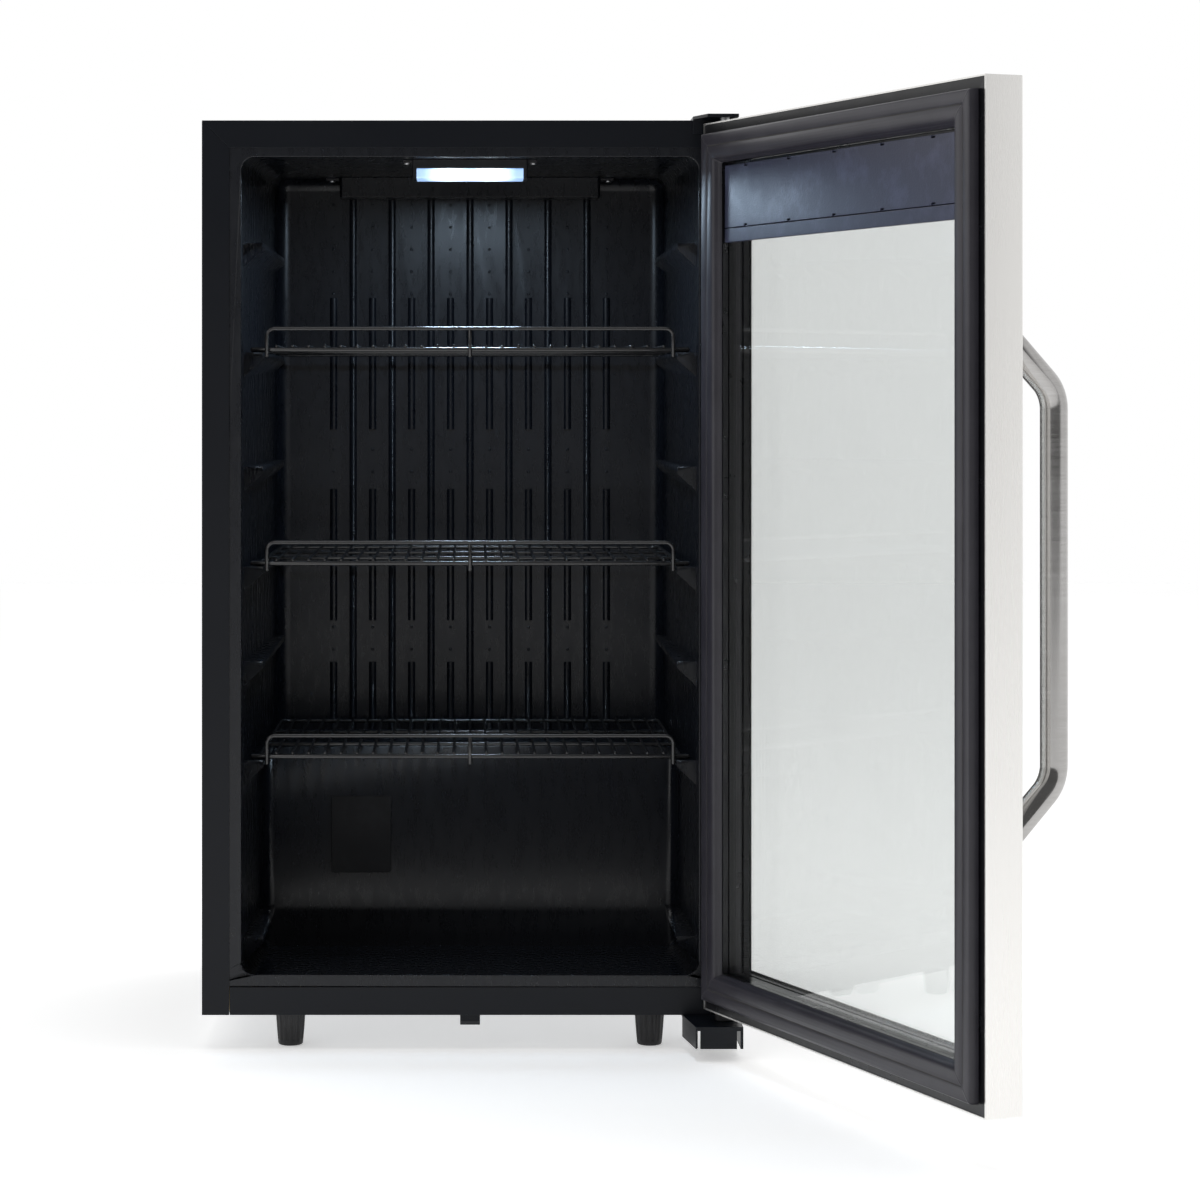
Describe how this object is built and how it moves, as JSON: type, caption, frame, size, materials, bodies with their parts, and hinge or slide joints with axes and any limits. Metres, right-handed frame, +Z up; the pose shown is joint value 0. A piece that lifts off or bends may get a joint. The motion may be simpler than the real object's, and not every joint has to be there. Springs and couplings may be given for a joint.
{
  "type": "mini fridge",
  "caption": "Compact glass-door drinks cooler with a stainless-framed hinged door, bar handle, sliding wire shelves, lamp and rear condenser.",
  "frame": {"origin": "on the floor, under the middle of the cabinet", "axes": "+Z up, -Y out of the cabinet's front, +X towards the hinge side"},
  "size_m": [0.6856, 0.8985, 0.8192],
  "materials": {
    "painted_steel": "satin",
    "zinc_steel": "satin",
    "black_liner": "gloss",
    "frame_plastic": "satin",
    "header_plastic": "satin",
    "grey_rubber": "matte",
    "foam": "matte",
    "sheet_aluminium": "satin",
    "lamp_white": "satin",
    "lamp_glow": "satin",
    "circuit_board": "satin",
    "black_steel": "satin",
    "iron": "matte",
    "black_plastic": "matte",
    "black_rubber": "matte",
    "magnet": "matte",
    "copper": "satin",
    "stainless": "brushed",
    "clear_glass": "gloss",
    "coated_wire": "gloss"
  },
  "bodies": {
    "cabinet": {"base_pan": "zinc_steel", "bottom_front_rail": "painted_steel", "bottom_hinge_bracket": "painted_steel", "capillary_tube": "copper", "ceiling_duct_cover": "black_liner", "compartment_panel": "zinc_steel", "compressor_bolts": "zinc_steel", "compressor_core": "iron", "compressor_deck": "zinc_steel", "compressor_grommets": "black_rubber", "compressor_shell": "black_steel", "condenser_clips": "zinc_steel", "condenser_tube": "black_steel", "condenser_wires": "black_steel", "cord_gland": "black_plastic", "discharge_tube": "copper", "drain_tube": "black_plastic", "drip_tray": "black_plastic", "evaporator_plate": "sheet_aluminium", "filter_drier": "copper", "front_clip": "painted_steel", "hinge_pins": "zinc_steel", "hinge_screws": "zinc_steel", "hinge_spacer": "black_plastic", "hump_cover": "black_liner", "inner_liner": "black_liner", "insulation_foam": "foam", "lamp_board": "circuit_board", "lamp_housing": "lamp_white", "lamp_lens": "lamp_glow", "left_side_panel": "painted_steel", "liner_screws": "zinc_steel", "rear_feet": "black_plastic", "rear_panel": "zinc_steel", "relay_cover": "black_plastic", "right_side_panel": "painted_steel", "suction_tube": "copper", "terminal_box": "black_plastic", "top_hinge_bracket": "painted_steel", "top_panel": "painted_steel"},
    "door": {"door_skin": "stainless", "door_frame": "frame_plastic", "inner_glass": "clear_glass", "outer_glass": "clear_glass", "glass_spacer": "frame_plastic", "door_gasket": "grey_rubber", "gasket_magnets": "magnet", "header_cover": "header_plastic", "control_board": "circuit_board", "hinge_bushes": "black_plastic", "handle_bar": "stainless", "handle_screws": "zinc_steel"},
    "top_shelf": {"shelf_1_deck": "coated_wire", "shelf_1_rail": "coated_wire"},
    "middle_shelf": {"shelf_2_deck": "coated_wire", "shelf_2_rail": "coated_wire"},
    "bottom_shelf": {"shelf_3_deck": "coated_wire", "shelf_3_rail": "coated_wire"},
    "left_foot": {"front_left_foot": "black_plastic"},
    "right_foot": {"front_right_foot": "black_plastic"}
  },
  "joints": [
    {"name": "door_hinge", "type": "hinge", "parent": "cabinet", "child": "door", "pos_m": [0.2215, -0.2355, 0.424], "axis": [0, 0, 1], "range_deg": [-112, 8]},
    {"name": "top_shelf_slide", "type": "slide", "parent": "cabinet", "child": "top_shelf", "axis": [0, -1, 0], "range_m": [0, 0.28]},
    {"name": "middle_shelf_slide", "type": "slide", "parent": "cabinet", "child": "middle_shelf", "axis": [0, -1, 0], "range_m": [0, 0.28]},
    {"name": "bottom_shelf_slide", "type": "slide", "parent": "cabinet", "child": "bottom_shelf", "axis": [0, -1, 0], "range_m": [0, 0.28]},
    {"name": "left_foot_turn", "type": "hinge", "parent": "cabinet", "child": "left_foot", "pos_m": [-0.1585, -0.1875, 0.015], "axis": [0, 0, 1], "continuous": true},
    {"name": "right_foot_turn", "type": "hinge", "parent": "cabinet", "child": "right_foot", "pos_m": [0.1585, -0.1875, 0.015], "axis": [0, 0, 1], "continuous": true}
  ]
}
